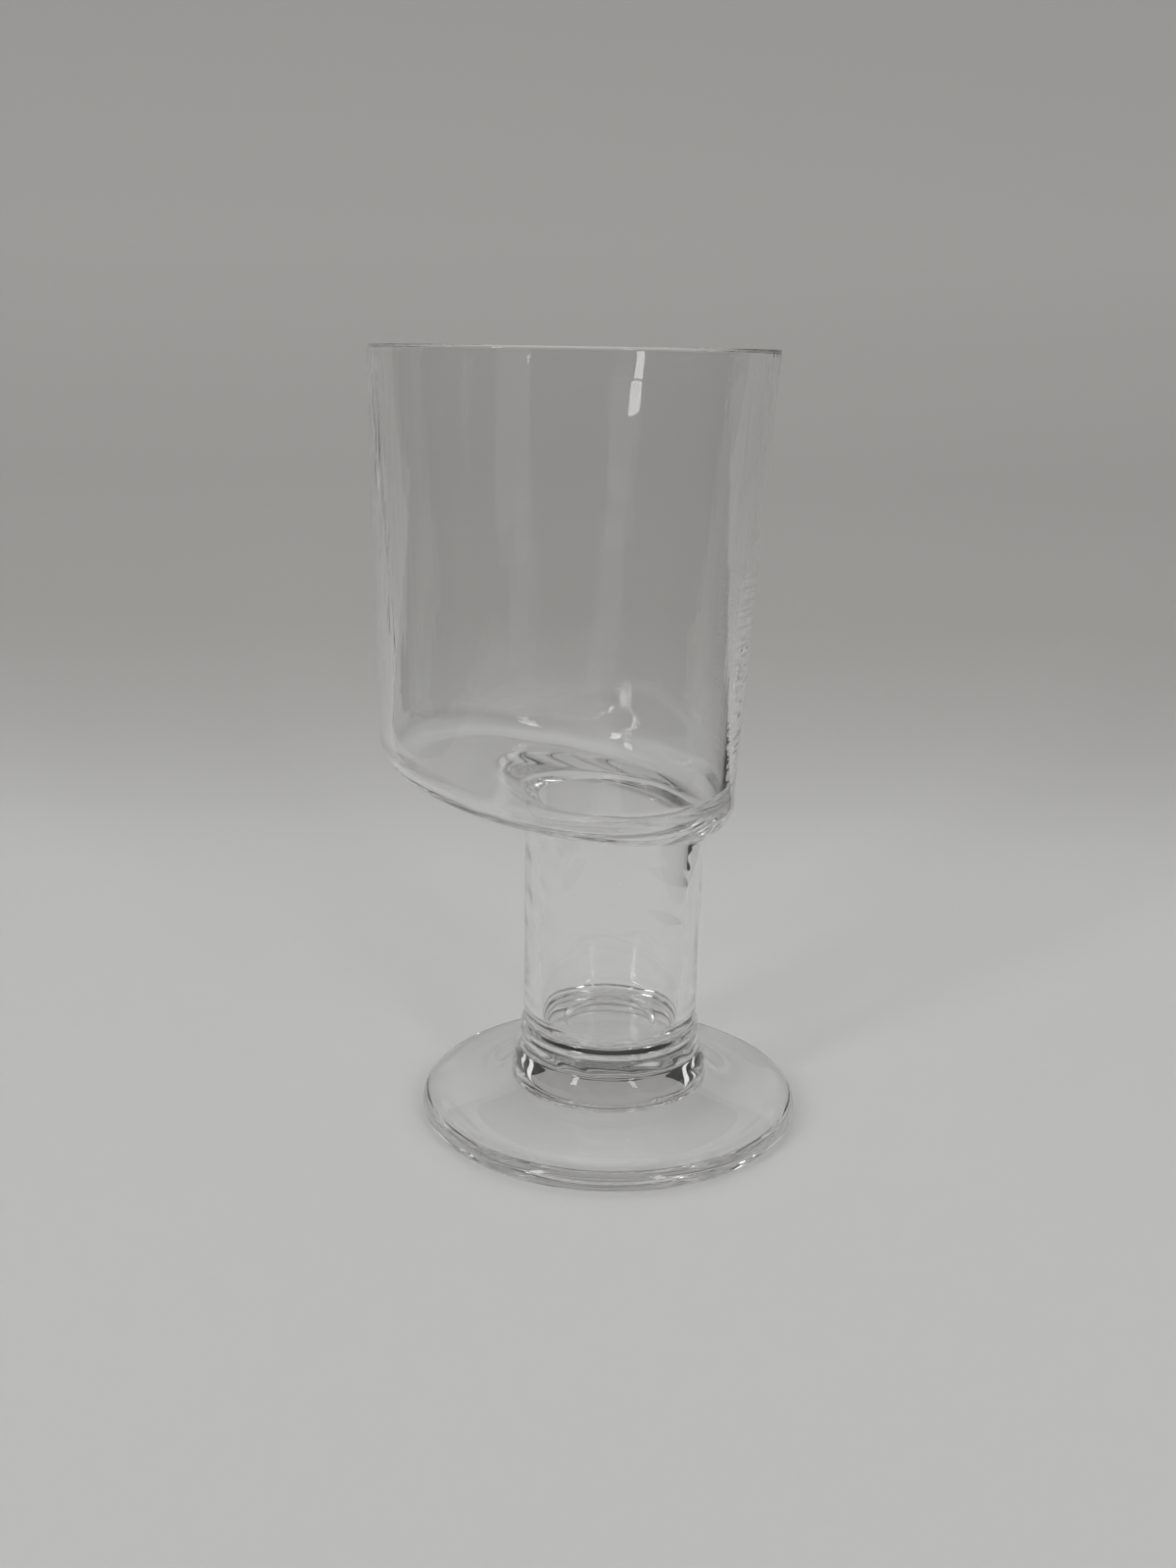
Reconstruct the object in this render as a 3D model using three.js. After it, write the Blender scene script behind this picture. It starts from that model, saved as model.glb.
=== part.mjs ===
// Footed water glass of clear blown glass, in millimetres, +Z up.
// A round foot carries a rounded collar, a hollow stem and a bowl that stands off-centre to -X.
// The bowl's floor slopes down to +X, and the hollow of the stem opens through it.
// The origin is the centre of the foot's underside, on the stem's axis.
import * as THREE from 'three';

// Foot: a turned disc with a round edge and a top that rises to the collar
const FOOT_RADIUS = 37.9;
const FOOT_EDGE_HEIGHT = 4.2;
const FOOT_EDGE_ROUND = 1.9;
const FOOT_SEAT_HEIGHT = 8;

// Collar: the bead of glass between foot and stem
const COLLAR_HEIGHT = 6;
const COLLAR_BULGE = 2.25;
const COLLAR_TUCK_HEIGHT = 0.8;
const COLLAR_TUCK = 0.5;

// Stem: a tube with a thick closed base, a little wider at the top on the +X side
const STEM_RADIUS = 17.4;
const STEM_WALL = 2.7;
const STEM_LENGTH = 49.6;
const STEM_FLARE = 1;
const STEM_BASE_THICKNESS = 4;
const BORE_CORNER_RADIUS = 6;

// Bowl: a leaning cup with a sloping floor and a round mouth into the stem
const BOWL_HEIGHT = 86.1;
const BOWL_OFFSET = 10.9;
const BOWL_BASE_RADIUS = 34.4;
const RIM_RADIUS = 37.5;
const RIM_SHIFT = 2.1;
const WALL_THICKNESS = 2.6;
const FLOOR_THICKNESS = 3.4;
const FLOOR_SLOPE_DEGREES = 10.8;
const CORNER_RADIUS = 6.6;
const INSIDE_CORNER_RADIUS = 5;
const LIP_REACH = 6.5;
const LIP_DEPTH = 3;

// Clearance between the stem's slanted top and the bowl that sits on it
const SEAT_GAP = 0.3;

// How softly the bowl's wall leaves the corner before it widens in a straight line
const WALL_EASE = 0.04;
// The lip takes this share of the floor's thickness at most, so that it never cuts the underside
const LIP_SHARE = 0.9;

// Facets: points around every ring, and steps along each stretch of a section
const AROUND = 64;
const ARC_STEPS = 5;
const WALL_STEPS = 6;
const UNDERSIDE_STEPS = 10;
const FLOOR_STEPS = 16;

const FLOOR_SLOPE = THREE.MathUtils.degToRad(FLOOR_SLOPE_DEGREES);
const FLOOR_FALL = Math.tan(FLOOR_SLOPE);
const FLOOR_RISE = FLOOR_THICKNESS / Math.cos(FLOOR_SLOPE);
const LIP_DROP = Math.min(LIP_DEPTH, LIP_SHARE * FLOOR_THICKNESS);
const STEM_BOTTOM = FOOT_SEAT_HEIGHT + COLLAR_HEIGHT;
const UNDERSIDE_HEIGHT = STEM_BOTTOM + STEM_LENGTH + SEAT_GAP;
const RIM_HEIGHT = UNDERSIDE_HEIGHT + BOWL_HEIGHT;
const WALL_START = UNDERSIDE_HEIGHT - FLOOR_FALL * (BOWL_BASE_RADIUS - BOWL_OFFSET) + CORNER_RADIUS;

function steps(count) {
  return Array.from({ length: count + 1 }, (_, index) => index / count);
}

function glass(name, geometry) {
  const material = new THREE.MeshStandardMaterial({
    color: 0xe9eeee, roughness: 0.03, metalness: 0, transparent: true, opacity: 0.35,
  });
  const mesh = new THREE.Mesh(geometry, material);
  mesh.name = name;
  return mesh;
}

// Turns a half profile, drawn from the axis out and up and back to the axis, about +Z
function turned(path) {
  return new THREE.LatheGeometry(path.getPoints(ARC_STEPS), AROUND).rotateX(Math.PI / 2);
}

// Joins rings of points into a skin. A ring of one point is a pole; otherwise the last ring meets the first.
function lofted(rings) {
  const positions = [];
  const starts = [];
  for (const ring of rings) {
    starts.push(positions.length / 3);
    for (const point of ring) positions.push(point.x, point.y, point.z);
  }
  const faces = [];
  const capped = rings[0].length === 1;
  const bands = capped ? rings.length - 1 : rings.length;
  for (let band = 0; band < bands; band += 1) {
    const next = (band + 1) % rings.length;
    for (let index = 0; index < AROUND; index += 1) {
      const turn = (index + 1) % AROUND;
      const low = [index, turn].map((step) => starts[band] + (step % rings[band].length));
      const high = [index, turn].map((step) => starts[next] + (step % rings[next].length));
      if (rings[band].length > 1) faces.push(low[0], low[1], high[1]);
      if (rings[next].length > 1) faces.push(low[0], high[1], high[0]);
    }
  }
  const geometry = new THREE.BufferGeometry();
  geometry.setAttribute('position', new THREE.Float32BufferAttribute(positions, 3));
  geometry.setIndex(faces);
  geometry.computeVertexNormals();
  return geometry;
}

// One ring of points, each worked out from its angle
function ringOf(place) {
  return Array.from({ length: AROUND }, (_, index) => place((index / AROUND) * 2 * Math.PI));
}

// A quarter round of the given radius: its rise at a distance from the wall that it runs into
function quarterRound(distance, radius) {
  const inside = Math.max(radius - distance, 0);
  return radius - Math.sqrt(Math.max(radius * radius - inside * inside, 0));
}

// Stem: outer radius at an angle and height, flaring to +X towards the top
function stemRadius(angle, height) {
  const rise = THREE.MathUtils.clamp((height - STEM_BOTTOM) / STEM_LENGTH, 0, 1);
  return STEM_RADIUS + STEM_FLARE * rise * rise * (0.5 + 0.5 * Math.cos(angle));
}

function mouthRadius(angle) {
  return stemRadius(angle, UNDERSIDE_HEIGHT) - STEM_WALL;
}

function aroundStem(angle, radius, height) {
  return new THREE.Vector3(radius * Math.cos(angle), radius * Math.sin(angle), height);
}

// Bowl: outer radius about its own axis, from the corner up to the rim, which leans back to +X
function wallRadius(angle, height) {
  const rise = THREE.MathUtils.clamp((height - WALL_START) / (RIM_HEIGHT - WALL_START), 0, 1);
  const eased = (Math.hypot(rise, WALL_EASE) - WALL_EASE) / (Math.hypot(1, WALL_EASE) - WALL_EASE);
  return BOWL_BASE_RADIUS + eased * (RIM_RADIUS - BOWL_BASE_RADIUS + RIM_SHIFT * Math.cos(angle));
}

function floorPlane(x) {
  return UNDERSIDE_HEIGHT - FLOOR_FALL * x;
}

// The bowl's two skins: how far each lies inside the outer wall and above the underside, its corner
// with the wall, and how deep it rolls over into the mouth of the stem
const OUTSIDE = { inset: 0, lift: 0, corner: CORNER_RADIUS, lipDrop: 0 };
const INSIDE = { inset: WALL_THICKNESS, lift: FLOOR_RISE, corner: INSIDE_CORNER_RADIUS, lipDrop: LIP_DROP };

function aroundBowl(angle, radius, height) {
  return new THREE.Vector3(radius * Math.cos(angle) - BOWL_OFFSET, radius * Math.sin(angle), height);
}

// Where a skin's wall ends and its corner begins, found by settling height and radius together
function wallFoot(skin, angle) {
  let point = aroundBowl(angle, BOWL_BASE_RADIUS - skin.inset, WALL_START);
  for (let pass = 0; pass < 4; pass += 1) {
    const height = floorPlane(point.x) + skin.lift + skin.corner;
    point = aroundBowl(angle, wallRadius(angle, height) - skin.inset, height);
  }
  return point;
}

// Height of a skin's floor under a plan point: the slope, with its corner rising to the wall
function floorHeight(skin, x, y) {
  const angle = Math.atan2(y, x + BOWL_OFFSET);
  const edge = wallFoot(skin, angle);
  const distance = Math.hypot(edge.x + BOWL_OFFSET, edge.y) - Math.hypot(x + BOWL_OFFSET, y);
  return floorPlane(x) + skin.lift + quarterRound(Math.max(distance, 0), skin.corner);
}

// A ring of the floor, at a share of the way from the wall's foot to the mouth of the stem
function floorRing(skin, share) {
  return ringOf((angle) => {
    const mouth = aroundStem(angle, mouthRadius(angle), 0);
    const point = wallFoot(skin, angle).lerp(mouth, share);
    const toMouth = Math.hypot(point.x, point.y) - mouthRadius(Math.atan2(point.y, point.x));
    const drop = (skin.lipDrop * quarterRound(Math.max(toMouth, 0), LIP_REACH)) / LIP_REACH;
    return point.setZ(floorHeight(skin, point.x, point.y) - drop);
  });
}

// A ring of the wall, at a share of the way from its foot to where the rim's rounding starts
function wallRing(skin, share) {
  const top = RIM_HEIGHT - WALL_THICKNESS / 2;
  return ringOf((angle) => {
    const foot = wallFoot(skin, angle);
    const height = THREE.MathUtils.lerp(foot.z, top, share);
    return aroundBowl(angle, wallRadius(angle, height) - skin.inset, height);
  });
}

function rimRing(share) {
  const round = WALL_THICKNESS / 2;
  const turn = share * Math.PI;
  return ringOf((angle) => {
    const middle = wallRadius(angle, RIM_HEIGHT - round) - round;
    return aroundBowl(angle, middle + round * Math.cos(turn), RIM_HEIGHT - round + round * Math.sin(turn));
  });
}

function makeFoot() {
  const path = new THREE.Path();
  const inner = FOOT_RADIUS - FOOT_EDGE_ROUND;
  const half = FOOT_EDGE_HEIGHT / 2;
  path.moveTo(0, 0);
  path.lineTo(inner, 0);
  path.absellipse(inner, half, FOOT_EDGE_ROUND, half, -Math.PI / 2, Math.PI / 2, false, 0);
  path.lineTo(STEM_RADIUS + COLLAR_BULGE, FOOT_SEAT_HEIGHT);
  path.lineTo(0, FOOT_SEAT_HEIGHT);
  return glass('foot', turned(path));
}

function makeCollar() {
  const path = new THREE.Path();
  const widest = STEM_RADIUS + COLLAR_BULGE;
  const waist = FOOT_SEAT_HEIGHT + COLLAR_TUCK_HEIGHT;
  path.moveTo(0, FOOT_SEAT_HEIGHT);
  path.lineTo(widest - COLLAR_TUCK, FOOT_SEAT_HEIGHT);
  path.absellipse(widest - COLLAR_TUCK, waist, COLLAR_TUCK, COLLAR_TUCK_HEIGHT, -Math.PI / 2, 0, false, 0);
  path.absellipse(STEM_RADIUS, waist, COLLAR_BULGE, STEM_BOTTOM - waist, 0, Math.PI / 2, false, 0);
  path.lineTo(0, STEM_BOTTOM);
  return glass('collar', turned(path));
}

function makeStem() {
  const boreFloor = STEM_BOTTOM + STEM_BASE_THICKNESS;
  const boreRound = boreFloor + BORE_CORNER_RADIUS;
  // Heights of the slanted top, which follows the bowl's underside
  const topAt = (angle, radius) => {
    const point = aroundStem(angle, radius, 0);
    return floorHeight(OUTSIDE, point.x, point.y) - SEAT_GAP;
  };
  const outerTop = (angle) => topAt(angle, stemRadius(angle, UNDERSIDE_HEIGHT));
  const boreTop = (angle) => topAt(angle, mouthRadius(angle));

  const outside = steps(WALL_STEPS).map((share) => ringOf((angle) => {
    const height = THREE.MathUtils.lerp(STEM_BOTTOM, outerTop(angle), share);
    return aroundStem(angle, stemRadius(angle, height), height);
  }));
  const bore = steps(WALL_STEPS).map((share) => ringOf((angle) => {
    const height = THREE.MathUtils.lerp(boreTop(angle), boreRound, share);
    return aroundStem(angle, stemRadius(angle, height) - STEM_WALL, height);
  }));
  const boreBottom = steps(ARC_STEPS).slice(1).map((share) => ringOf((angle) => {
    const turn = (share * Math.PI) / 2;
    const radius = stemRadius(angle, boreRound) - STEM_WALL - BORE_CORNER_RADIUS * (1 - Math.cos(turn));
    return aroundStem(angle, radius, boreRound - BORE_CORNER_RADIUS * Math.sin(turn));
  }));
  const basePole = [new THREE.Vector3(0, 0, STEM_BOTTOM)];
  const borePole = [new THREE.Vector3(0, 0, boreFloor)];
  return glass('stem', lofted([basePole, ...outside, ...bore, ...boreBottom, borePole]));
}

function makeBowl() {
  // From the mouth's lower edge out along the underside, up the wall, over the rim and back inside
  const underside = steps(UNDERSIDE_STEPS).slice(1).reverse()
    .map((share) => floorRing(OUTSIDE, 1 - Math.cos((share * Math.PI) / 2)));
  const outerWall = steps(WALL_STEPS).map((share) => wallRing(OUTSIDE, share));
  const rim = steps(ARC_STEPS + 1).slice(1, -1).map(rimRing);
  const innerWall = steps(WALL_STEPS).reverse().map((share) => wallRing(INSIDE, share));
  const floor = steps(FLOOR_STEPS).slice(1)
    .map((share) => floorRing(INSIDE, (1 - Math.cos(share * Math.PI)) / 2));
  return glass('bowl', lofted([...underside, ...outerWall, ...rim, ...innerWall, ...floor]));
}

const waterGlass = new THREE.Group();
waterGlass.name = 'water_glass';
waterGlass.add(makeFoot(), makeCollar(), makeStem(), makeBowl());

export default waterGlass;
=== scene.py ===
"""Looks of the footed water glass: one clear skin of glass on a pale sweep, lit by soft lamps."""

import math

import bpy
import numpy as np
from mathutils import Matrix, Vector


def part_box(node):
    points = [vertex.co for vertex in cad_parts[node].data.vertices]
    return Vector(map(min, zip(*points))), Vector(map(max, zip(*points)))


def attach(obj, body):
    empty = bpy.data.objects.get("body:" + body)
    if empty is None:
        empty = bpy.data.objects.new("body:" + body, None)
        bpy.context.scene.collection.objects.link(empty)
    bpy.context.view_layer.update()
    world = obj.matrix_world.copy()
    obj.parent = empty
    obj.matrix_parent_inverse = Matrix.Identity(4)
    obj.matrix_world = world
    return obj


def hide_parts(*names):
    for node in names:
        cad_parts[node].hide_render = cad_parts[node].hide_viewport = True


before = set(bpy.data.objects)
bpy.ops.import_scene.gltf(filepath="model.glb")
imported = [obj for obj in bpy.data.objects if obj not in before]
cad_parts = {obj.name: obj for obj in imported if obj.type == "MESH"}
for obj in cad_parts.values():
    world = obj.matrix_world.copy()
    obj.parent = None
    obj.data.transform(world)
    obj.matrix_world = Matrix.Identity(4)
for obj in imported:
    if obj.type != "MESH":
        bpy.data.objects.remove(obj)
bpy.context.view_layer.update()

MM = 0.001

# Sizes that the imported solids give, in metres
FOOT_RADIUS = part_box("foot")[1].x
STEM_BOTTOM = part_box("collar")[1].z
STEM_RADIUS = -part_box("stem")[0].x
bowl_low, bowl_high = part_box("bowl")
RIM_HEIGHT = bowl_high.z
RIM_RADIUS = (bowl_high.y - bowl_low.y) / 2

# Sizes inside the glass and on its rounds, as the solids have them
FOOT_EDGE_HEIGHT = 4.2 * MM
FOOT_EDGE_ROUND = 1.9 * MM
STEM_WALL = 2.7 * MM
STEM_FLARE = 1.0 * MM
STEM_LENGTH = 49.6 * MM
STEM_GAP = 0.3 * MM
UNDERSIDE = STEM_BOTTOM + STEM_LENGTH + STEM_GAP
BOWL_OFFSET = 10.9 * MM
BOWL_BASE_RADIUS = 34.4 * MM
RIM_SHIFT = 2.1 * MM
WALL = 2.6 * MM
FLOOR_SLOPE = math.radians(10.8)
CORNER = 6.6 * MM
WALL_EASE = 0.04

# Inside, the bowl is thinner on its high side, and the glass has run to its low side
FLOOR_RISE = 2.7 * MM
FLOOR_RISE_LOW_SIDE = 1.0 * MM
INSIDE_CORNER = 3.0 * MM
INSIDE_CORNER_LOW_SIDE = 5.0 * MM

# The rim: the wall thins towards it from inside, and its edge is fire polished to a small round
RIM_EDGE = 0.5 * MM
RIM_ROUND = 0.7 * MM
RIM_THINNING = 0.4
RIM_THINNING_HEIGHT = 75 * MM

# The floor rolls down into the stem's mouth: wide on the bowl's high side, tight on its low side
LIP_REACH_HIGH = 9.3 * MM
LIP_REACH_LOW = 3.0 * MM
LIP_DEPTH_HIGH = 3.5 * MM
LIP_DEPTH_LOW = 1.2 * MM
LIP_EASE = 0.2

# The hollow under the foot, which stands on a ring near its edge
HOLLOW_RISE = 3.6 * MM
HOLLOW_RADIUS = 32.0 * MM
HOLLOW_FLAT = 14.0 * MM

# The hot seam under the bowl: how far the glass has run together
STEM_SEAM = 1.1 * MM
STEM_SEAM_LOW_SIDE = 1.4 * MM

# The collar in section, as radius and height in mm: the foot's top, a tuck, the bead, and two
# low shoulders where the stem was set down on it
BEAD = (
    (21.6, 7.3), (19.9, 7.7), (19.4, 8.1), (19.55, 8.8), (19.6, 9.6), (19.4, 10.8), (19.0, 12.2),
    (18.5, 13.3), (18.1, 13.8), (18.05, 15.8), (18.05, 16.7), (17.98, 17.0), (17.66, 17.2),
    (17.68, 17.5), (17.95, 18.2), (18.0, 18.45), (17.7, 18.85), (17.0, 19.55), (17.0, 20.1),
    (17.4, 21.4), (17.4, 23.0),
)

# The bottom of the stem's hollow in section: a shallow dish with a ring pressed in it
HOLLOW_END = (
    (14.3, 30.0), (14.1, 23.0), (13.9, 20.6), (13.0, 19.4), (10.5, 18.95), (9.3, 18.8), (8.9, 18.45),
    (8.5, 18.3), (6.5, 18.3),
)
SECTION_CUTS = 2

# Waves that blowing leaves in a wall: how many go round, their height in mm and how fast they wind
WAVES = (
    (3, 0.06, 0.011), (5, 0.045, 0.017), (9, 0.022, 0.013), (14, 0.012, 0.021), (23, 0.006, 0.016),
    (37, 0.003, 0.025),
)
# Where the waves of each wall start, and the length over which they die out at its ends
BOWL_START = 1.0
BEAD_START = 2.0
STEM_START = 4.0
BORE_START = 7.0
BOWL_FADE = 14 * MM
STEM_FADE = 12 * MM
BEAD_FADE = 2 * MM
# The tools that shaped the collar and the hollow left waves of another height, which wind faster
BEAD_SWING = 0.7
BEAD_PACE = 25.0
BORE_SWING = 0.6
BORE_PACE = 20.0

# Points round each ring of the skin, and rings on each stretch of it
AROUND = 240
FOOT_UNDER_RINGS = 24
FOOT_EDGE_RINGS = 20
FOOT_TOP_RINGS = 12
STEM_RINGS = 23
UNDERSIDE_RINGS = 34
WALL_RINGS = 30
RIM_OUTER_RINGS = 12
RIM_INNER_RINGS = 16
FLOOR_RINGS = 52
BORE_RINGS = 44
END_RINGS = 6
# How much closer the rings stand towards the rim and towards the stem's mouth
WALL_CLOSER = 1.6
BORE_CLOSER = 1.4
TURN = np.linspace(0, 2 * math.pi, AROUND, endpoint=False)

# Chill marks: faint upright streaks in the bowl's blown wall, which start over its floor. They are
# finer on the real glass, and drawn this coarse so that they show
STREAK_WIDTH = 1.8 * MM
STREAK_LENGTH = 30 * MM
STREAK_DEPTH = 0.035 * MM
STREAKS_FROM = 78 * MM
STREAKS_TO = 92 * MM
# Ripples on the low end of the wall, where it was drawn in, and how much higher they stand
RIPPLE_WIDTH = 1.4 * MM
RIPPLE_LENGTH = 12 * MM
RIPPLE_TILT = math.radians(8)
RIPPLE_TIMES = 6.0
DRAWN_FROM = 21.5 * MM
DRAWN_TO = 24 * MM
DRAWN_LOW = 104 * MM
DRAWN_HIGH = 114 * MM
# The marks are on upright faces only: the most and the least that a face may look up or down
LEVEL_FROM = 0.25
LEVEL_TO = 0.05
GLASS_IOR = 1.52

# Stage: a sheet of pale paper lies on a table and sweeps up behind the glass, in a dim room.
# Only what glass reflects shows the dim room; the camera sees pale paper all round.
PAPER_LEFT = -0.30
PAPER_RIGHT = 0.13
PAPER_FRONT = -0.36
PAPER_BEND = 0.185
PAPER_BEND_RADIUS = 0.30
PAPER_BEND_STEPS = 48
PAPER_RISE = math.radians(47)
PAPER_RUN = 0.7
SWEEP_REACH = 1.0
STAGE_REACH = 1.5
# A film of air lies between the foot and the paper
PAPER_DROP = 0.3 * MM

# Tones of the paper, and how far back each starts: painted shade where it rises behind the glass,
# painted light higher up, and a painted shadow near the camera in reflections
PAPER_FLOOR = "#c6c6c5"
PAPER_BEHIND_PAINTED_SHADE = "#b4b3b0"
PAPER_HIGH_PAINTED_LIGHT = "#c6c5c2"
# A painted shadow near the camera, which only reflections show
PAPER_NEAR_PAINTED_SHADOW = "#9a9a98"
PAPER_ROUGHNESS = 0.5
PAPER_SHADE_FROM = 0.12
PAPER_SHADE_TO = 0.34
PAPER_PAINTED_LIGHT_FROM = 0.50
NEAR_SHADE_FROM = -0.10
NEAR_SHADE_TO = -0.30
TABLE_DIM = "#2c2b2a"

# Painted reflections: low pale walls and window panes, drawn as glowing cards that only reflections
# show.
# A card has a name, an angle from the camera's side towards +X, its width, its distance, and the
# heights of its two edges
PAINTED_WALL_GLOW = 0.30
WALL_CARDS = (
    ("left_wall", -30, 0.20, 0.6, 0.0, 0.115),
    ("right_wall", 30, 0.16, 0.6, 0.0, 0.085),
)
PAINTED_WINDOW_GLOW = 0.8
WINDOW_PANES = (
    ("left_near_pane", -120, 0.09, 0.9, 0.20, 0.60),
    ("left_far_pane", -134, 0.09, 0.9, 0.20, 0.60),
    ("right_near_pane", 120, 0.09, 0.9, 0.20, 0.60),
    ("right_far_pane", 134, 0.09, 0.9, 0.20, 0.60),
)

# Strip lamps: a name, an angle as a card has, the height of the lower end, and watts
STRIPS = (("left_strip", -41, 0.205, 2.0), ("right_strip", 31, 0.215, 1.2))
STRIP_DISTANCE = 1.1
STRIP_WIDTH = 0.13
STRIP_HEIGHT = 0.7
STRIP_AIM = Vector((0, 0, 0.1))

# The room: its tones, and the sines of the heights where its pale ceiling and its glow set in
ROOM_DIM = "#343434"
ROOM_PALE = "#8c8c8b"
ROOM_WHITE = "#ffffff"
CEILING_FROM = 0.25
CEILING_TO = 0.65
OVERHEAD_FROM = 0.76
OVERHEAD_TO = 0.90
OVERHEAD_GLOW = 0.4
LIGHT_BOUNCES = 160

# Camera: where the photograph was taken from, and how it was held
CAMERA_DISTANCE = 0.29339
CAMERA_HEIGHT = 0.14946
CAMERA_YAW = math.radians(-0.997)
CAMERA_PITCH = math.radians(15.552)
CAMERA_ROLL = math.radians(0.888)
CAMERA_LENS = 35.835
CAMERA_SENSOR = 36

# Settings that several nodes share
EASED = {"interpolation_type": "SMOOTHSTEP"}
TIMES = {"operation": "MULTIPLY"}
OVER = {"operation": "GREATER_THAN"}
COLOURS = {"data_type": "RGBA"}


def srgb(code):
    """A hex sRGB colour as linear red, green, blue and alpha."""
    parts = [int(code[i:i + 2], 16) / 255 for i in (1, 3, 5)]
    linear = [c / 12.92 if c <= 0.04045 else ((c + 0.055) / 1.055) ** 2.4 for c in parts]
    return (*linear, 1.0)


def ramp(value):
    """0 to 1, eased at both ends."""
    value = np.clip(value, 0, 1)
    return value**2 * (3 - 2 * value)


def quarter_round(distance, radius):
    """Rise of a quarter round at a distance from the wall that it runs into."""
    inside = np.clip(radius - distance, 0, radius)
    return radius - np.sqrt(np.maximum(radius**2 - inside**2, 0))


def around(radius, height, centre=0.0):
    """A ring of points about an upright axis."""
    radius = np.broadcast_to(radius, TURN.shape)
    height = np.broadcast_to(height, TURN.shape)
    return np.column_stack([centre + radius * np.cos(TURN), radius * np.sin(TURN), height])


def arc(steps, start, end):
    """Cosine and sine at even steps of a turn, without its first point."""
    for angle in np.linspace(start, end, steps + 1)[1:]:
        yield math.cos(angle), math.sin(angle)


def low_side(angle):
    """1 towards the bowl's low side, at +X, and 0 towards its high side."""
    return 0.5 + 0.5 * np.cos(angle)


def stem_top(angle):
    """Radius of the stem where it meets the bowl, a little wider towards +X."""
    return STEM_RADIUS + STEM_FLARE * low_side(angle)


def floor_plane(x):
    """Height of the bowl's sloping underside."""
    return UNDERSIDE - math.tan(FLOOR_SLOPE) * x


WALL_START = floor_plane(BOWL_BASE_RADIUS - BOWL_OFFSET) + CORNER


def wall_radius(angle, height):
    """Radius of the bowl's outer wall about its own axis."""
    rise = np.clip((height - WALL_START) / (RIM_HEIGHT - WALL_START), 0, 1)
    eased = (np.hypot(rise, WALL_EASE) - WALL_EASE) / (math.hypot(1, WALL_EASE) - WALL_EASE)
    return BOWL_BASE_RADIUS + eased * (RIM_RADIUS - BOWL_BASE_RADIUS + RIM_SHIFT * np.cos(angle))


def outside(angle):
    """Inset of the outer skin from the wall's line, its lift from the underside, and its corner."""
    return 0.0, 0.0, CORNER


def inside(angle):
    """The same of the inner skin."""
    low = low_side(angle) ** 3
    return WALL, FLOOR_RISE + FLOOR_RISE_LOW_SIDE * low, INSIDE_CORNER + INSIDE_CORNER_LOW_SIDE * low


def wall_foot(angle, skin):
    """Radius about the bowl's axis and height where a wall ends and its corner begins."""
    inset, lift, corner = skin(angle)
    radius = BOWL_BASE_RADIUS - inset
    for _ in range(4):
        height = floor_plane(radius * np.cos(angle) - BOWL_OFFSET) + lift + corner
        radius = wall_radius(angle, height) - inset
    return radius, height


def floor_height(x, y, skin):
    """Height of the floor or the underside, with the corner that turns up into the wall."""
    angle = np.arctan2(y, x + BOWL_OFFSET)
    _, lift, corner = skin(angle)
    edge, _ = wall_foot(angle, skin)
    distance = np.maximum(edge - np.hypot(x + BOWL_OFFSET, y), 0)
    return floor_plane(x) + lift + quarter_round(distance, corner)


def plan_ring(share, mouth, skin):
    """Plan points at a share of the way from a ring round the stem to a wall's foot."""
    radius, _ = wall_foot(TURN, skin)
    x = mouth * np.cos(TURN) * (1 - share) + (radius * np.cos(TURN) - BOWL_OFFSET) * share
    y = (mouth * (1 - share) + radius * share) * np.sin(TURN)
    return x, y


def waves(height, low, high, fade, start, swing=1.0, pace=1.0):
    """Radial waves of a blown wall round a ring, which die out at the wall's two ends."""
    total = np.zeros(AROUND)
    for step, (count, tall, wind) in enumerate(WAVES):
        turned = start * (step + 1) ** 2 + pace * wind * height / MM * count**0.5
        total = total + swing * tall * MM * np.cos(count * TURN + turned)
    return total * ramp((height - low) / fade) * ramp((high - height) / fade)


def lip(angle):
    """Reach and depth of the roll at the stem's mouth."""
    high = 1 - low_side(angle)
    reach = LIP_REACH_LOW + (LIP_REACH_HIGH - LIP_REACH_LOW) * high
    return reach, LIP_DEPTH_LOW + (LIP_DEPTH_HIGH - LIP_DEPTH_LOW) * high


def lip_drop(gap, angle):
    """How far the floor has rolled down at a distance from the stem's mouth."""
    reach, depth = lip(angle)
    near = np.clip(1 - gap / reach, 0, 1)
    return depth * (np.hypot(near, LIP_EASE) - LIP_EASE) / (math.hypot(1, LIP_EASE) - LIP_EASE)


def section(corners):
    """Radius and height down a section given by its corners, which are cut until it runs smooth."""
    line = np.array(corners) * MM
    for _ in range(SECTION_CUTS):
        cut = np.stack([line[:-1] * 0.75 + line[1:] * 0.25, line[:-1] * 0.25 + line[1:] * 0.75], 1)
        line = np.concatenate([line[:1], cut.reshape(-1, 2)[1:-1], line[-1:]])
    return line


def foot_rings():
    """From the centre of the underside, round the edge and up to the collar."""
    inner = FOOT_RADIUS - FOOT_EDGE_ROUND
    half = FOOT_EDGE_HEIGHT / 2
    for share in np.linspace(0, 1, FOOT_UNDER_RINGS + 1)[1:]:
        reach = (HOLLOW_RADIUS - inner * share) / (HOLLOW_RADIUS - HOLLOW_FLAT)
        yield around(inner * share, HOLLOW_RISE * ramp(reach))
    for c, s in arc(FOOT_EDGE_RINGS, -math.pi / 2, math.pi / 2):
        yield around(inner + FOOT_EDGE_ROUND * c, half + half * s)
    end, top = np.array(BEAD[0]) * MM
    for share in np.linspace(0, 1, FOOT_TOP_RINGS + 2)[1:-1]:
        height = FOOT_EDGE_HEIGHT + (top - FOOT_EDGE_HEIGHT) * share
        yield around(inner + (end - inner) * share, height)


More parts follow.
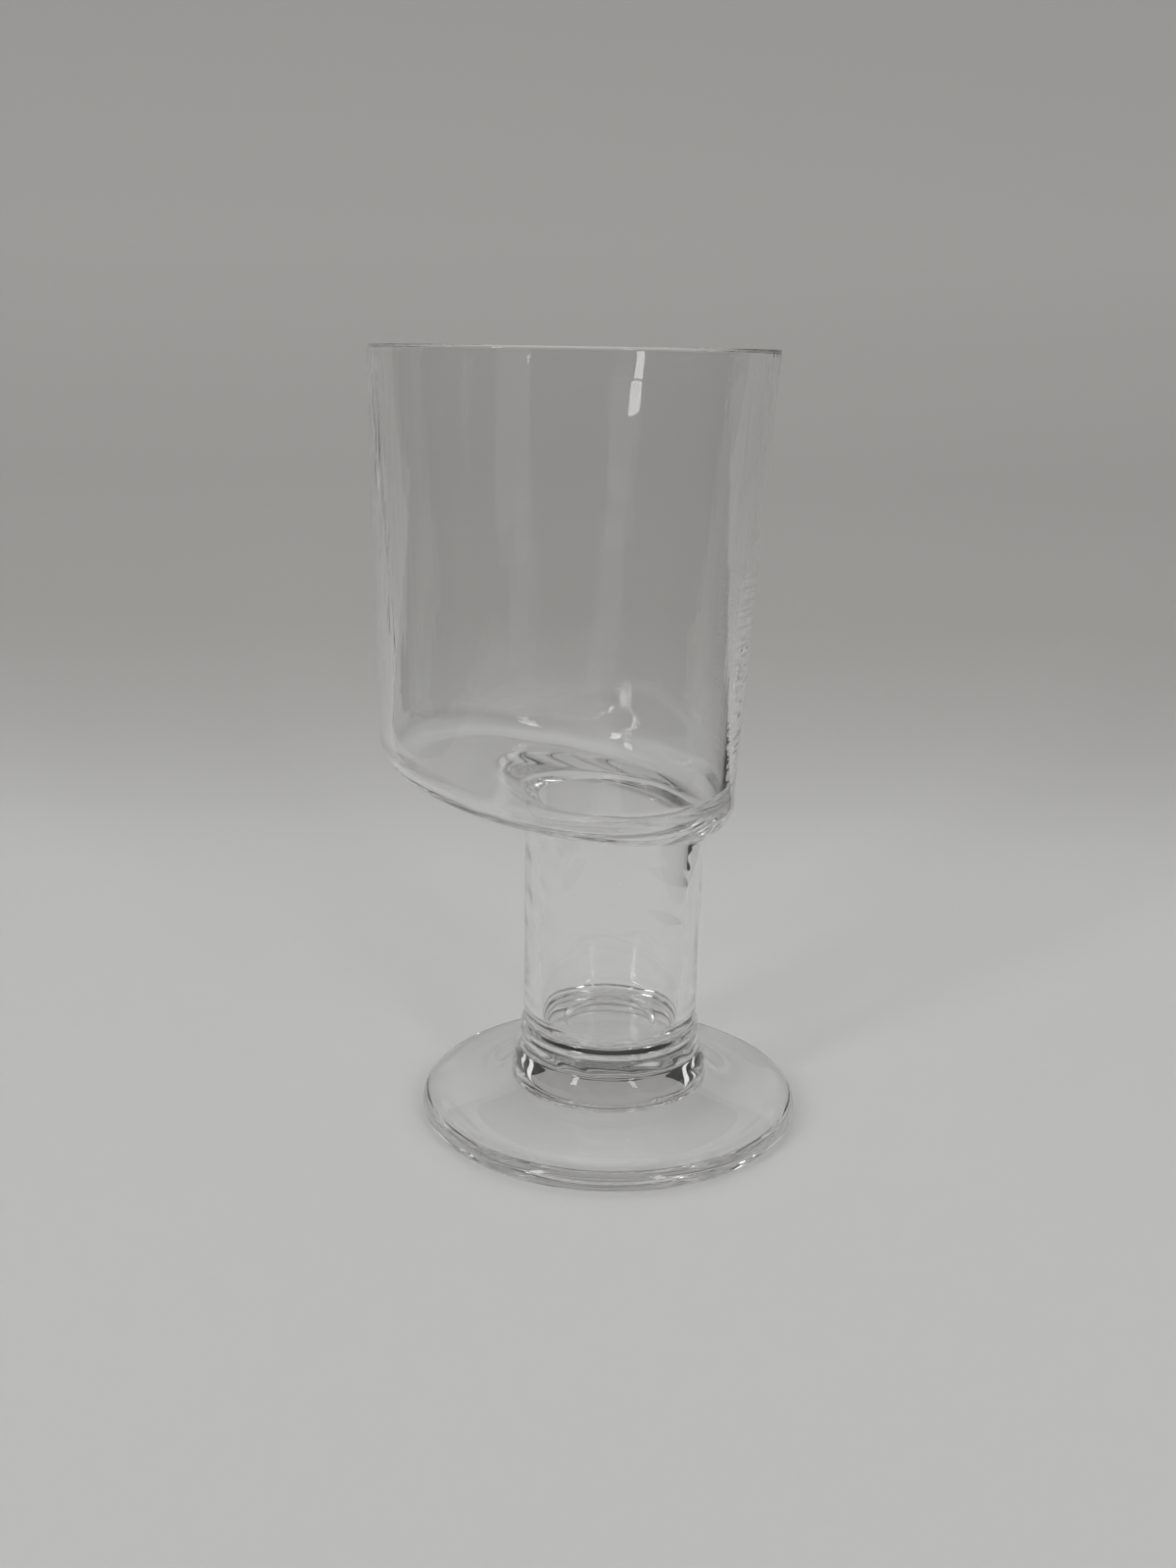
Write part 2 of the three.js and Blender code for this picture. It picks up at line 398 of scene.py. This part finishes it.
def bead_rings():
    """The collar, uneven from the tool that shaped it."""
    line = section(BEAD)
    for radius, height in line:
        uneven = waves(height, line[0, 1], line[-1, 1], BEAD_FADE, BEAD_START, BEAD_SWING, BEAD_PACE)
        yield around(radius + uneven, height)


def seam_round(angle):
    """Radius of the seam under the bowl: tight, and wider on the low side."""
    return STEM_SEAM + STEM_SEAM_LOW_SIDE * low_side(angle) ** 2


def underside_height(x, y):
    """Height of the bowl's underside, which runs down into the stem at the seam."""
    angle = np.arctan2(y, x)
    gap = np.maximum(np.hypot(x, y) - stem_top(angle), 0)
    return floor_height(x, y, outside) - quarter_round(gap, seam_round(angle))


def stem_rings():
    """The stem's outer wall, from the collar to the seam under the bowl."""
    widest = stem_top(TURN)
    top = underside_height(widest * np.cos(TURN), widest * np.sin(TURN))
    low = BEAD[-1][1] * MM
    for share in np.linspace(0, 1, STEM_RINGS + 1)[1:]:
        height = low + (top - low) * share
        radius = STEM_RADIUS + (widest - STEM_RADIUS) * share**2
        yield around(radius + waves(height, low, top, STEM_FADE, STEM_START), height)


def underside_rings():
    """Out from the stem to the foot of the bowl's outer wall."""
    for step in np.linspace(0, math.pi, UNDERSIDE_RINGS + 2)[1:-1]:
        x, y = plan_ring((1 - math.cos(step)) / 2, stem_top(TURN), outside)
        yield np.column_stack([x, y, underside_height(x, y)])


def rim_thinning(height):
    """The share by which the wall has thinned on its way up to the rim."""
    return RIM_THINNING * np.clip(1 - (RIM_HEIGHT - height) / RIM_THINNING_HEIGHT, 0, 1)


def wall_rings(skin, high):
    """A wall from its foot to where the rim's round starts, with closer rings towards the rim."""
    inset = skin(TURN)[0]
    _, low = wall_foot(TURN, skin)
    for share in 1 - np.linspace(1, 0, WALL_RINGS) ** WALL_CLOSER:
        height = low + (high - low) * share
        radius = wall_radius(TURN, height) - inset * (1 - rim_thinning(height))
        uneven = waves(height, low, high, BOWL_FADE, BOWL_START + inset / MM)
        yield around(radius + uneven, height, -BOWL_OFFSET)


def rim_rings():
    """Over the rim, from its outer edge to the inner wall."""
    outer = wall_radius(TURN, RIM_HEIGHT)
    for c, s in arc(RIM_OUTER_RINGS, 0, math.pi / 2):
        yield around(outer - RIM_EDGE * (1 - c), RIM_HEIGHT - RIM_EDGE * (1 - s), -BOWL_OFFSET)
    inner = WALL * (1 - rim_thinning(RIM_HEIGHT - RIM_ROUND)) - RIM_EDGE
    for c, s in arc(RIM_INNER_RINGS, math.pi / 2, math.pi):
        yield around(outer - RIM_EDGE + inner * c, RIM_HEIGHT - RIM_ROUND * (1 - s), -BOWL_OFFSET)


def inner_floor_rings():
    """In from the foot of the inner wall to the stem's mouth."""
    mouth = stem_top(TURN) - STEM_WALL
    for step in np.linspace(0, math.pi, FLOOR_RINGS + 1)[1:]:
        x, y = plan_ring((1 + math.cos(step)) / 2, mouth, inside)
        angle = np.arctan2(y, x)
        gap = np.maximum(np.hypot(x, y) - stem_top(angle) + STEM_WALL, 0)
        yield np.column_stack([x, y, floor_height(x, y, inside) - lip_drop(gap, angle)])


def bore_rings():
    """Down the stem's hollow and over the dish at its bottom."""
    mouth = stem_top(TURN) - STEM_WALL
    base, low = np.array(HOLLOW_END[0]) * MM
    top = floor_height(mouth * np.cos(TURN), mouth * np.sin(TURN), inside) - lip(TURN)[1]
    for share in np.linspace(0, 1, BORE_RINGS + 2)[1:-1] ** BORE_CLOSER:
        height = top + (low - top) * share
        uneven = waves(height, low, top, STEM_FADE, BORE_START, BORE_SWING, BORE_PACE)
        yield around(base + (mouth - base) * (1 - share) ** 2 + uneven, height)
    for radius, height in section(HOLLOW_END):
        yield around(radius, height)
    end, height = np.array(HOLLOW_END[-1]) * MM
    for share in np.linspace(1, 0, END_RINGS + 2)[1:-1]:
        yield around(end * share, height)


def glass_mesh():
    """One closed skin, ring by ring from the underside's centre to the floor of the bore."""
    inner_wall = list(wall_rings(inside, RIM_HEIGHT - RIM_ROUND))[::-1][1:]
    rings = [
        *foot_rings(), *bead_rings(), *stem_rings(), *underside_rings(),
        *wall_rings(outside, RIM_HEIGHT - RIM_EDGE), *rim_rings(),
        *inner_wall, *inner_floor_rings(), *bore_rings(),
    ]
    points = [(0, 0, HOLLOW_RISE), *np.concatenate(rings).tolist(), (0, 0, HOLLOW_END[-1][1] * MM)]
    faces = []
    for turn in range(AROUND):
        after = (turn + 1) % AROUND
        faces.append((0, 1 + after, 1 + turn))
        for ring in range(len(rings) - 1):
            low = 1 + ring * AROUND
            high = low + AROUND
            faces.append((low + turn, low + after, high + after, high + turn))
        last = 1 + (len(rings) - 1) * AROUND
        faces.append((last + turn, last + after, len(points) - 1))
    mesh = bpy.data.meshes.new("water_glass")
    mesh.from_pydata(points, [], faces)
    mesh.validate()
    mesh.shade_smooth()
    return mesh


def add_node(tree, kind, settings=None, inputs=None, links=None):
    """Adds a node, sets its fields and sockets, and links sockets of other nodes into it."""
    node = tree.nodes.new(kind)
    for name, value in (settings or {}).items():
        setattr(node, name, value)
    for name, value in (inputs or {}).items():
        node.inputs[name].default_value = value
    for name, source in (links or {}).items():
        tree.links.new(source, node.inputs[name])
    return node


def new_material(name):
    """A material without nodes, and its tree."""
    material = bpy.data.materials.new(name)
    material.use_nodes = True
    material.node_tree.nodes.clear()
    return material, material.node_tree


def blown_glass():
    """Soda-lime glass, blown and fire polished: clear, colourless and mirror smooth, so that it
    shows only in the bands where it bends the light, in sharp highlights and in faint marks."""
    material, tree = new_material("blown_soda_lime_glass")
    place = add_node(tree, "ShaderNodeTexCoord")
    spot = add_node(tree, "ShaderNodeSeparateXYZ", links={0: place.outputs["Object"]})

    # Upright streaks in the bowl's wall
    drawn = add_node(
        tree, "ShaderNodeMapping",
        inputs={"Scale": (1 / STREAK_WIDTH, 1 / STREAK_WIDTH, 1 / STREAK_LENGTH)},
        links={"Vector": place.outputs["Object"]},
    )
    streaks = add_node(
        tree, "ShaderNodeTexNoise", inputs={"Scale": 1.0, "Detail": 1.0},
        links={"Vector": drawn.outputs[0]},
    )
    bowl = add_node(
        tree, "ShaderNodeMapRange", EASED, {"From Min": STREAKS_FROM, "From Max": STREAKS_TO},
        {"Value": spot.outputs["Z"]},
    )
    lines = add_node(
        tree, "ShaderNodeMath", TIMES, links={0: streaks.outputs[0], 1: bowl.outputs[0]},
    )

    # Ripples on its low end
    laid = add_node(
        tree, "ShaderNodeMapping", inputs={
            "Rotation": (RIPPLE_TILT, 0, 0),
            "Scale": (1 / RIPPLE_LENGTH, 1 / RIPPLE_LENGTH, 1 / RIPPLE_WIDTH),
        }, links={"Vector": place.outputs["Object"]},
    )
    ripples = add_node(
        tree, "ShaderNodeTexNoise", inputs={"Scale": 1.0, "Detail": 1.0},
        links={"Vector": laid.outputs[0]},
    )
    end = add_node(
        tree, "ShaderNodeMapRange", EASED, {"From Min": DRAWN_FROM, "From Max": DRAWN_TO},
        {"Value": spot.outputs["X"]},
    )
    below = add_node(
        tree, "ShaderNodeMapRange", EASED, {"From Min": DRAWN_HIGH, "From Max": DRAWN_LOW},
        {"Value": spot.outputs["Z"]},
    )
    both = add_node(
        tree, "ShaderNodeMath", TIMES, links={0: end.outputs[0], 1: below.outputs[0]},
    )
    times = add_node(tree, "ShaderNodeMath", TIMES, {1: RIPPLE_TIMES}, {0: both.outputs[0]})
    tall = add_node(
        tree, "ShaderNodeMath", {"operation": "MULTIPLY_ADD"},
        links={0: ripples.outputs[0], 1: times.outputs[0], 2: lines.outputs[0]},
    )

    # Both on upright faces only
    surface = add_node(tree, "ShaderNodeNewGeometry")
    facing = add_node(tree, "ShaderNodeSeparateXYZ", links={0: surface.outputs["True Normal"]})
    level = add_node(
        tree, "ShaderNodeMath", {"operation": "ABSOLUTE"}, links={0: facing.outputs["Z"]},
    )
    upright = add_node(
        tree, "ShaderNodeMapRange", EASED, {"From Min": LEVEL_FROM, "From Max": LEVEL_TO},
        {"Value": level.outputs[0]},
    )
    marks = add_node(
        tree, "ShaderNodeBump", inputs={"Distance": STREAK_DEPTH},
        links={"Height": tall.outputs[0], "Strength": upright.outputs[0]},
    )
    body = add_node(tree, "ShaderNodeBsdfPrincipled", inputs={
        "Base Color": srgb("#ffffff"), "Roughness": 0.0, "IOR": GLASS_IOR, "Transmission Weight": 1.0,
    }, links={"Normal": marks.outputs[0]})
    add_node(tree, "ShaderNodeOutputMaterial", links={"Surface": body.outputs[0]})
    return material


def add_object(name, mesh, material):
    """An object of one mesh and one material."""
    item = bpy.data.objects.new(name, mesh)
    bpy.context.scene.collection.objects.link(item)
    item.data.materials.append(material)
    return item


def make_glass():
    """The whole glass as one piece, because the real one is joined hot and shows no seams inside."""
    piece = add_object("water_glass", glass_mesh(), blown_glass())
    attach(piece, "root")
    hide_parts("foot", "collar", "stem", "bowl")


def off_camera(tree):
    """1 for light that a surface has turned back, 0 for what the camera sees, also through glass."""
    path = add_node(tree, "ShaderNodeLightPath")
    turns = add_node(
        tree, "ShaderNodeMath", {"operation": "ADD"},
        links={0: path.outputs["Glossy Depth"], 1: path.outputs["Diffuse Depth"]},
    )
    return add_node(tree, "ShaderNodeMath", OVER, {1: 0.5}, {0: turns.outputs[0]}).outputs[0]


def matt_paper(tree):
    """Pale grey matt paper, which takes soft shadows and no gloss: painted shade makes it a shade
    darker where it rises behind the glass, painted light makes it paler higher up, and a painted
    shadow makes it darker near the camera in reflections."""
    place = add_node(tree, "ShaderNodeNewGeometry")
    depth = add_node(tree, "ShaderNodeSeparateXYZ", links={0: place.outputs["Position"]})
    # Painted shade: the paper turns a shade darker where it rises behind the glass
    shade = add_node(
        tree, "ShaderNodeMapRange", EASED, {"From Min": PAPER_SHADE_FROM, "From Max": PAPER_SHADE_TO},
        {"Value": depth.outputs["Y"]},
    )
    # Painted light: higher up it turns paler again, where less light falls
    high = add_node(
        tree, "ShaderNodeMapRange",
        inputs={"From Min": PAPER_SHADE_TO, "From Max": PAPER_PAINTED_LIGHT_FROM},
        links={"Value": depth.outputs["Y"]},
    )
    behind = add_node(
        tree, "ShaderNodeMix", COLOURS, {6: srgb(PAPER_BEHIND_PAINTED_SHADE), 7: srgb(PAPER_HIGH_PAINTED_LIGHT)},
        {0: high.outputs[0]},
    )
    colour = add_node(
        tree, "ShaderNodeMix", COLOURS, {6: srgb(PAPER_FLOOR)},
        {0: shade.outputs[0], 7: behind.outputs[2]},
    )
    # Painted shadow: near the camera the paper turns darker, in reflections only
    near = add_node(
        tree, "ShaderNodeMapRange", EASED, {"From Min": NEAR_SHADE_FROM, "From Max": NEAR_SHADE_TO},
        {"Value": depth.outputs["Y"]},
    )
    shaded = add_node(
        tree, "ShaderNodeMath", TIMES, links={0: near.outputs[0], 1: off_camera(tree)},
    )
    tone = add_node(
        tree, "ShaderNodeMix", COLOURS, {7: srgb(PAPER_NEAR_PAINTED_SHADOW)},
        {0: shaded.outputs[0], 6: colour.outputs[2]},
    )
    return add_node(
        tree, "ShaderNodeBsdfDiffuse", inputs={"Roughness": PAPER_ROUGHNESS},
        links={"Color": tone.outputs[2]},
    )


def sweep_paper():
    """The paper by itself."""
    material, tree = new_material("matt_sweep_paper")
    add_node(tree, "ShaderNodeOutputMaterial", links={"Surface": matt_paper(tree).outputs[0]})
    return material


def dim_table():
    """The table round the paper: as pale as the paper, but dim in reflections."""
    material, tree = new_material("dim_table_top")
    pale = matt_paper(tree)
    dim = add_node(tree, "ShaderNodeBsdfDiffuse", inputs={"Color": srgb(TABLE_DIM)})
    mix = add_node(
        tree, "ShaderNodeMixShader",
        links={0: off_camera(tree), 1: pale.outputs[0], 2: dim.outputs[0]},
    )
    add_node(tree, "ShaderNodeOutputMaterial", links={"Surface": mix.outputs[0]})
    return material


def painted_reflection_card(name, level):
    """A painted reflection: a pale board drawn as glowing light, though it is no lamp, which only
    reflections show.
    """
    material, tree = new_material(name)
    clear = add_node(tree, "ShaderNodeBsdfTransparent")
    # Painted light: this emission stands in for a lit wall or window pane
    glow = add_node(tree, "ShaderNodeEmission", inputs={"Strength": level})
    mix = add_node(
        tree, "ShaderNodeMixShader",
        links={0: off_camera(tree), 1: clear.outputs[0], 2: glow.outputs[0]},
    )
    add_node(tree, "ShaderNodeOutputMaterial", links={"Surface": mix.outputs[0]})
    return material


def stage_mesh(name, points, faces, material):
    """A mesh that belongs to the stage."""
    mesh = bpy.data.meshes.new(name)
    mesh.from_pydata(points, [], faces)
    mesh.shade_smooth()
    item = add_object(name, mesh, material)
    return item


def make_sweep():
    """The sheet under the glass, the wide sweep behind it, and the table on the other three sides."""
    back = [(PAPER_BEND, 0.0)]
    for c, s in arc(PAPER_BEND_STEPS, -math.pi / 2, PAPER_RISE - math.pi / 2):
        back.append((PAPER_BEND + PAPER_BEND_RADIUS * c, PAPER_BEND_RADIUS * (1 + s)))
    y, z = back[-1]
    back.append((y + PAPER_RUN * math.cos(PAPER_RISE), z + PAPER_RUN * math.sin(PAPER_RISE)))
    points = [(x, y, z - PAPER_DROP) for y, z in back for x in (-SWEEP_REACH, SWEEP_REACH)]
    faces = [(2 * i, 2 * i + 1, 2 * i + 3, 2 * i + 2) for i in range(len(back) - 1)]
    first = len(points)
    for y in (PAPER_FRONT, PAPER_BEND):
        points += [(x, y, -PAPER_DROP) for x in (PAPER_LEFT, PAPER_RIGHT)]
    faces.append((first, first + 1, first + 3, first + 2))
    stage_mesh("paper_sweep", points, faces, sweep_paper())
    sides = (
        (-STAGE_REACH, PAPER_LEFT, PAPER_BEND),
        (PAPER_RIGHT, STAGE_REACH, PAPER_BEND),
        (PAPER_LEFT, PAPER_RIGHT, PAPER_FRONT),
    )
    points = []
    for left, right, end in sides:
        corners = ((left, -STAGE_REACH), (right, -STAGE_REACH), (right, end), (left, end))
        points += [(x, y, -PAPER_DROP) for x, y in corners]
    faces = [tuple(range(first, first + 4)) for first in range(0, len(points), 4)]
    stage_mesh("table", points, faces, dim_table())


def bearing(azimuth):
    """Level direction at an angle from the camera's side towards +X."""
    turn = math.radians(azimuth)
    return Vector((math.sin(turn), -math.cos(turn), 0))


def stand_card(name, azimuth, width, distance, low, high, material):
    """An upright card that faces the glass."""
    turn = math.radians(azimuth)
    middle = bearing(azimuth) * distance
    side = Vector((math.cos(turn), math.sin(turn), 0)) * width / 2
    points = [middle - side, middle + side, middle + side, middle - side]
    points = [(p.x, p.y, z) for p, z in zip(points, (low, low, high, high))]
    card = stage_mesh(name, points, [(0, 1, 2, 3)], material)
    card.visible_camera = False
    card.visible_diffuse = False
    card.visible_shadow = False


def make_cards():
    """Painted reflections of the low walls in front and the windows behind, as glowing cards."""
    wall = painted_reflection_card("painted_reflection_wall", PAINTED_WALL_GLOW)
    for card in WALL_CARDS:
        stand_card(*card, wall)
    window = painted_reflection_card("painted_reflection_window", PAINTED_WINDOW_GLOW)
    for card in WINDOW_PANES:
        stand_card(*card, window)


def make_lamps():
    """Two upright strip lamps in front, turned to the glass."""
    for name, azimuth, low, watts in STRIPS:
        data = bpy.data.lights.new(name, "AREA")
        data.shape = "RECTANGLE"
        data.size = STRIP_WIDTH
        data.size_y = STRIP_HEIGHT
        data.energy = watts
        lamp = bpy.data.objects.new(name, data)
        place = bearing(azimuth) * STRIP_DISTANCE
        place.z = low + STRIP_HEIGHT / 2
        lamp.location = place
        lamp.rotation_euler = (STRIP_AIM - place).to_track_quat("-Z", "Y").to_euler()
        lamp.visible_camera = False
        bpy.context.scene.collection.objects.link(lamp)


def make_world():
    """A room that reflects as dim, lights matt surfaces from its pale ceiling, and looks pale."""
    world = bpy.data.worlds.new("room")
    world.use_nodes = True
    tree = world.node_tree
    tree.nodes.clear()
    place = add_node(tree, "ShaderNodeTexCoord")
    height = add_node(tree, "ShaderNodeSeparateXYZ", links={0: place.outputs["Generated"]})
    rise = add_node(
        tree, "ShaderNodeMapRange", EASED, {"From Min": CEILING_FROM, "From Max": CEILING_TO},
        {"Value": height.outputs["Z"]},
    )
    path = add_node(tree, "ShaderNodeLightPath")
    matt = add_node(tree, "ShaderNodeMath", OVER, {1: 0.5}, {0: path.outputs["Diffuse Depth"]})
    lit = add_node(tree, "ShaderNodeMath", TIMES, links={0: rise.outputs[0], 1: matt.outputs[0]})
    overhead = add_node(
        tree, "ShaderNodeMapRange", EASED, {"From Min": OVERHEAD_FROM, "From Max": OVERHEAD_TO},
        {"Value": height.outputs["Z"]},
    )
    dim = add_node(tree, "ShaderNodeBackground", inputs={"Color": srgb(ROOM_DIM)})
    glow = add_node(
        tree, "ShaderNodeBackground", inputs={"Color": srgb(ROOM_WHITE), "Strength": OVERHEAD_GLOW},
    )
    ceiling = add_node(tree, "ShaderNodeBackground", inputs={"Color": srgb(ROOM_WHITE)})
    pale = add_node(tree, "ShaderNodeBackground", inputs={"Color": srgb(ROOM_PALE)})
    reflected = add_node(
        tree, "ShaderNodeMixShader",
        links={0: overhead.outputs[0], 1: dim.outputs[0], 2: glow.outputs[0]},
    )
    room = add_node(
        tree, "ShaderNodeMixShader",
        links={0: lit.outputs[0], 1: reflected.outputs[0], 2: ceiling.outputs[0]},
    )
    mix = add_node(
        tree, "ShaderNodeMixShader",
        links={0: off_camera(tree), 1: pale.outputs[0], 2: room.outputs[0]},
    )
    add_node(tree, "ShaderNodeOutputWorld", links={"Surface": mix.outputs[0]})
    bpy.context.scene.world = world


def make_camera():
    """The camera of the photograph."""
    data = bpy.data.cameras.new("camera")
    data.lens = CAMERA_LENS
    data.sensor_width = CAMERA_SENSOR
    camera = bpy.data.objects.new("camera", data)
    bpy.context.scene.collection.objects.link(camera)
    turn = Matrix.Rotation(-CAMERA_YAW, 4, "Z") @ Matrix.Rotation(math.pi / 2 - CAMERA_PITCH, 4, "X")
    camera.matrix_world = (
        Matrix.Translation((0, -CAMERA_DISTANCE, CAMERA_HEIGHT))
        @ turn @ Matrix.Rotation(CAMERA_ROLL, 4, "Z")
    )
    bpy.context.scene.camera = camera


def set_light_paths():
    """Light runs along thick clear glass by many reflections before it leaves."""
    cycles = bpy.context.scene.cycles
    cycles.max_bounces = LIGHT_BOUNCES
    cycles.glossy_bounces = LIGHT_BOUNCES
    cycles.transmission_bounces = LIGHT_BOUNCES
    cycles.blur_glossy = 0


bpy.context.scene.view_settings.view_transform = "Standard"
set_light_paths()
make_glass()
make_sweep()
make_cards()
make_lamps()
make_world()
make_camera()

bpy.context.view_layer.update()
